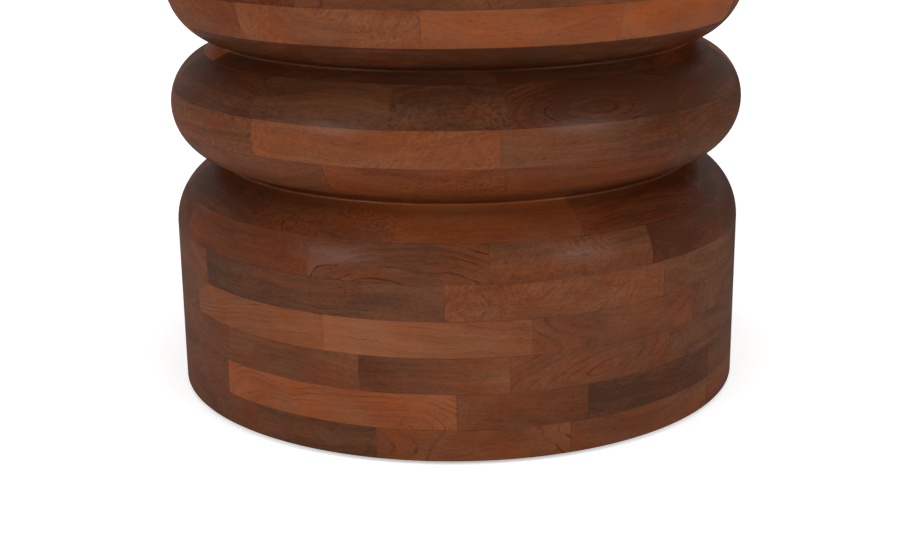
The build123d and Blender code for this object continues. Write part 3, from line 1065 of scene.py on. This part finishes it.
class DrumTableStage(bpy.types.PropertyGroup):
    """The plain studio round the table."""

    softbox_power: bpy.props.FloatProperty(
        name="Softbox power", description="Power of each of the two softboxes beside the camera",
        default=5.2, unit="POWER",
    )
    bounce_power: bpy.props.FloatProperty(
        name="Bounce power", description="Power of each lamp that lights the table off the floor",
        default=1.0, unit="POWER",
    )
    overhead_power: bpy.props.FloatProperty(
        name="Overhead power", description="Power of the large softbox over the table",
        default=38.0, unit="POWER",
    )
    fill: bpy.props.FloatProperty(
        name="Fill", description="Light from the walls beside the camera", default=0.18, min=0.0
    )
    back_fill: bpy.props.FloatProperty(
        name="Back fill", description="Light from the wall behind the table", default=1.0, min=0.0
    )
    ceiling: bpy.props.FloatProperty(
        name="Ceiling", description="Light of the ceiling, as a share of the walls'",
        default=0.05, min=0.0, max=1.0, subtype="FACTOR",
    )
    floor_colour: bpy.props.FloatVectorProperty(
        name="Floor colour", description="Colour of the plain floor", subtype="COLOR", size=3,
        default=linear("#EDEDED"), min=0.0, max=1.0,
    )
    lens: bpy.props.FloatProperty(
        name="Lens", description="Focal length of the camera", default=61.78, unit="CAMERA"
    )


# Half the floor's width, and how far from the table's axis the floor starts and ends to whiten
FLOOR_REACH = 12.0
WHITE_FROM, WHITE_TO = 0.3, 2.6

# Lamps: how wide they are, where they stand, the point they are aimed at, and their spread in
# degrees. The first two stand on the right, and each has a twin on the left.
SOFTBOX = (0.28, (0.88, -0.88, 0.60), (0.0, 0.0, 0.2), 180.0)
BOUNCE = (0.5, (0.55, -0.85, 0.9), (0.45, -0.62, 0.0), 70.0)
OVERHEAD = (1.2, (0.0, 0.0, 2.6), (0.0, 0.0, 0.0), 180.0)

# Where the camera stands, its tilt up from looking straight down, its lean, and the width of its
# sensor in mm
CAMERA_PLACE = (-2.55 * MM, -1400.0 * MM, 503.2 * MM)
CAMERA_TILT, CAMERA_LEAN = math.radians(90 - 16.55), math.radians(-0.64)
CAMERA_SENSOR = 36.0


def seen_share(tree, sideways, reach, sheen):
    """Share of the full white: 1 for the camera and through glass, less in a gloss, 0 for lighting.

    In a gloss it falls off to the right.
    """
    path = add_node(tree, "LightPath").outputs
    gloss = add_node(tree, "MapRange", {0: sideways, 1: -reach, 2: reach, 3: sheen, 4: 0.0})
    inputs = {0: path["Is Glossy Ray"], 1: gloss}
    share = add_node(tree, "Math", inputs, operation="MULTIPLY")
    for name in ("Is Camera Ray", "Is Transmission Ray"):
        share = add_node(tree, "Math", {0: share, 1: path[name]}, operation="MAXIMUM")
    return share


def make_floor(stage):
    """A plain pale floor that keeps the table's shadow."""
    size = FLOOR_REACH
    mesh = bpy.data.meshes.new("floor")
    corners = [(-size, -size, 0), (size, -size, 0), (size, size, 0), (-size, size, 0)]
    mesh.from_pydata(corners, [], [[0, 1, 2, 3]])
    material, tree = new_material("pale studio floor")
    # The floor whitens towards the walls, and near the table its shadow stays
    place = add_node(tree, "NewGeometry").outputs["Position"]
    reach = add_node(tree, "VectorMath", {0: place}, operation="LENGTH")
    sideways = add_node(tree, "SeparateXYZ", {0: place}).outputs[0]
    seen = seen_share(tree, sideways, reach=0.6, sheen=0.55)
    white = fade(tree, seen, (reach, WHITE_FROM, WHITE_TO, 0.50, 1.0))
    inputs = {"Base Color": (*stage.floor_colour, 1), "Roughness": 0.9, "Specular IOR Level": 0.1}
    inputs.update({"Emission Color": (1, 1, 1, 1), "Emission Strength": white})
    end_material(tree, inputs)
    mesh.materials.append(material)
    floor = add_object("floor", mesh)
    floor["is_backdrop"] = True


def make_world(stage):
    """White walls where they are seen, a soft fill for lighting, and a dim ceiling for both."""
    world = bpy.data.worlds.new("studio")
    bpy.context.scene.world = world
    world.use_nodes = True
    tree = world.node_tree
    tree.nodes.clear()
    direction = add_node(tree, "TexCoord").outputs["Generated"]
    sideways, backward, upward = add_node(tree, "SeparateXYZ", {0: direction}).outputs
    # The fill grows round from the side walls to the back wall
    inputs = {0: backward, 1: -0.1, 2: 0.9, 3: stage.fill, 4: stage.back_fill}
    fill = add_node(tree, "MapRange", inputs, interpolation_type="SMOOTHSTEP")
    seen = seen_share(tree, sideways, reach=1.0, sheen=0.85)
    walls = add_node(tree, "MapRange", {0: seen, 1: 0.0, 2: 1.0, 3: fill, 4: 1.0})
    # The walls pass softly into the ceiling
    strength = fade(tree, walls, (upward, 0.2, 0.7, 1.0, stage.ceiling))
    light = add_node(tree, "Background", {"Color": (1, 1, 1, 1), "Strength": strength})
    add_node(tree, "OutputWorld", {"Surface": light})


def make_lamp(name, power, build, side=1):
    """A square softbox, on the right or mirrored to the left; a lattice narrows its spread."""
    size, place, aim, spread = build
    place, aim = (Vector((side * x, y, z)) for x, y, z in (place, aim))
    lamp = bpy.data.lights.new(name, "AREA")
    lamp.energy = power
    lamp.size = size
    lamp.spread = math.radians(spread)
    box = add_object(name, lamp)
    box.visible_camera = False
    box.location = place
    box.rotation_mode = "QUATERNION"
    box.rotation_quaternion = (place - aim).to_track_quat("Z", "Y")


def make_camera(lens):
    """The camera, straight in front of the table and a little above it."""
    data = bpy.data.cameras.new("camera")
    data.sensor_width = CAMERA_SENSOR
    data.lens = lens
    data.clip_end = 5 * FLOOR_REACH
    camera = add_object("camera", data)
    tilt = Matrix.Rotation(CAMERA_TILT, 4, "X")
    lean = Matrix.Rotation(CAMERA_LEAN, 4, "Z")
    camera.matrix_world = Matrix.Translation(CAMERA_PLACE) @ tilt @ lean
    return camera


class DRUM_TABLE_OT_set_stage(bpy.types.Operator):
    """Set up the floor, the light and the camera"""

    bl_idname = "drum_table.set_stage"
    bl_label = "Set Stage"

    def execute(self, context):
        scene = context.scene
        stage = scene.drum_table_stage
        make_floor(stage)
        make_world(stage)
        for side, name in ((-1, "left"), (1, "right")):
            make_lamp(f"softbox_{name}", stage.softbox_power, SOFTBOX, side)
            make_lamp(f"bounce_{name}", stage.bounce_power, BOUNCE, side)
        make_lamp("overhead", stage.overhead_power, OVERHEAD)
        scene.camera = make_camera(stage.lens)
        scene.view_settings.view_transform = "Standard"
        return {"FINISHED"}


class DRUM_TABLE_PT_sidebar(bpy.types.Panel):
    """Lists the steps of making the table"""

    bl_label = "Drum Table"
    bl_idname = "DRUM_TABLE_PT_sidebar"
    bl_space_type = "VIEW_3D"
    bl_region_type = "UI"
    bl_category = "Drum Table"

    def draw(self, context):
        layout = self.layout
        for group in ("drum_table_sizes", "drum_table_colours", "drum_table_stage"):
            settings = getattr(context.scene, group)
            box = layout.box()
            for name in settings.bl_rna.properties.keys():
                if name not in ("rna_type", "name"):
                    box.prop(settings, name)
        for operator in OPERATORS:
            layout.operator(operator.bl_idname)


OPERATORS = (
    DRUM_TABLE_OT_turn_rings,
    DRUM_TABLE_OT_lay_top,
    DRUM_TABLE_OT_finish_underside,
    DRUM_TABLE_OT_finish_feet,
    DRUM_TABLE_OT_set_stage,
)
GROUPS = (
    ("drum_table_sizes", DrumTableSizes),
    ("drum_table_colours", DrumTableColours),
    ("drum_table_stage", DrumTableStage),
)


def register():
    for name, group in GROUPS:
        bpy.utils.register_class(group)
        setattr(bpy.types.Scene, name, bpy.props.PointerProperty(type=group))
    for operator in OPERATORS:
        bpy.utils.register_class(operator)
    bpy.utils.register_class(DRUM_TABLE_PT_sidebar)


def unregister():
    bpy.utils.unregister_class(DRUM_TABLE_PT_sidebar)
    for operator in reversed(OPERATORS):
        bpy.utils.unregister_class(operator)
    for name, group in reversed(GROUPS):
        delattr(bpy.types.Scene, name)
        bpy.utils.unregister_class(group)


def main():
    """Make the table, set the stage and work out both boxes."""
    register()
    bpy.ops.drum_table.turn_rings()
    bpy.ops.drum_table.lay_top()
    bpy.ops.drum_table.finish_underside()
    bpy.ops.drum_table.finish_feet()
    bpy.ops.drum_table.set_stage()
    boxes = {"cad": CAD_BOX, "visual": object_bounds()}
    {name: [list(corner) for corner in box] for name, box in boxes.items()}


if __name__ == "__main__":
    main()
